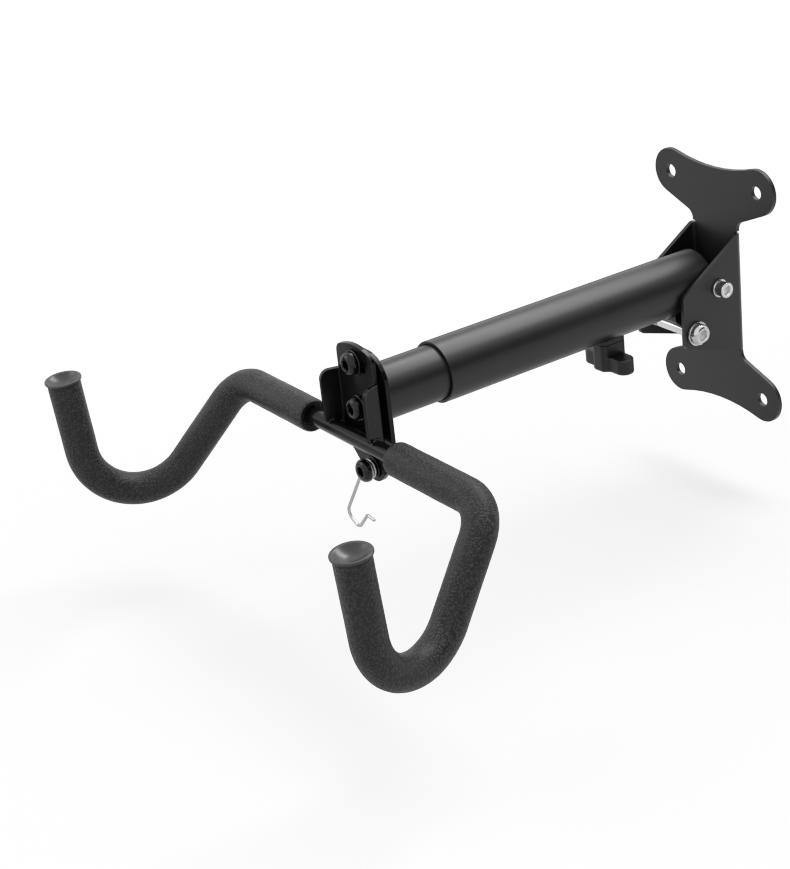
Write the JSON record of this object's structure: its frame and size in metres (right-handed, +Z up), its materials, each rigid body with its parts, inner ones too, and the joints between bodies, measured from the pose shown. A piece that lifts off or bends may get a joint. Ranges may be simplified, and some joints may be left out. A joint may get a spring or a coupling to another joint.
{
  "type": "bicycle wall rack",
  "caption": "Folding bicycle wall rack with a wall plate, a sliding and lifting arm, a tilting head, padded U hooks, a clamp knob and a small wire hook.",
  "frame": {"origin": "on the wall plane, at the height of the arm's axis, midway between the bracket's cheeks", "axes": "+Y into the wall, the arm runs along -Y, +Z up, +X towards the heads of the bracket's bolts"},
  "size_m": [0.3442, 0.4068, 0.171],
  "materials": {
    "satin_black_steel": "satin black powder coat, fine texture",
    "gloss_black_steel": "smooth semi-gloss black paint",
    "chromed_bolts": "bright plated steel",
    "black_screws": "glossy black plated steel",
    "zinc_steel": "zinc plated",
    "black_plastic": "smooth moulded plastic",
    "grained_foam": "matte closed-cell foam with a pebbled grain"
  },
  "bodies": {
    "wall": {"wall_bracket": "satin_black_steel", "pivot_bolt": "chromed_bolts", "pivot_washer_near": "chromed_bolts", "pivot_washer_far": "chromed_bolts", "pivot_nut": "chromed_bolts", "rest_bolt": "chromed_bolts", "rest_washer_near": "chromed_bolts", "rest_washer_far": "chromed_bolts", "rest_nut": "chromed_bolts"},
    "arm": {"outer_tube": "satin_black_steel", "pivot_bush": "satin_black_steel", "rest_pad": "satin_black_steel"},
    "slider": {"inner_tube": "satin_black_steel", "head_plate": "gloss_black_steel", "slide_nut": "zinc_steel", "clamp_saddle": "black_plastic", "tilt_lock_screw": "black_screws", "tilt_lock_washer": "black_screws", "tilt_lock_spacer": "black_screws", "tilt_lock_nut": "black_screws", "tilt_pivot_screw": "black_screws", "tilt_pivot_washer": "black_screws", "tilt_pivot_spacer": "black_screws", "tilt_pivot_nut": "zinc_steel", "hook_screw": "black_screws", "hook_washer": "black_screws", "hook_nut": "zinc_steel"},
    "knob": {"wing_knob": "black_plastic", "clamp_screw": "zinc_steel"},
    "hook_frame": {"tilt_bracket": "gloss_black_steel", "hook_rod": "satin_black_steel", "foam_sleeve_left": "grained_foam", "foam_sleeve_right": "grained_foam", "end_cap_left": "black_plastic", "end_cap_right": "black_plastic"},
    "wire_hook": {"wire_hook": "zinc_steel"}
  },
  "joints": [
    {"name": "arm_lift", "type": "hinge", "parent": "wall", "child": "arm", "pos_m": [0, -0.0215, -0.002], "axis": [-1, 0, 0], "range_deg": [0, 60]},
    {"name": "arm_extend", "type": "slide", "parent": "arm", "child": "slider", "axis": [0, -1, 0], "range_m": [-0.017, 0.083]},
    {"name": "clamp_turn", "type": "hinge", "parent": "slider", "child": "knob", "pos_m": [0, -0.0963, -0.03], "axis": [0, 0, -1], "range_deg": [0, 360]},
    {"name": "hook_tilt", "type": "hinge", "parent": "slider", "child": "hook_frame", "pos_m": [0, -0.2828, -0.0046], "axis": [0, -1, 0], "range_deg": [-15, 15]},
    {"name": "wire_swing", "type": "hinge", "parent": "slider", "child": "wire_hook", "pos_m": [0, -0.2817, -0.0449], "axis": [0, 1, 0], "range_deg": [-85, 35]}
  ]
}
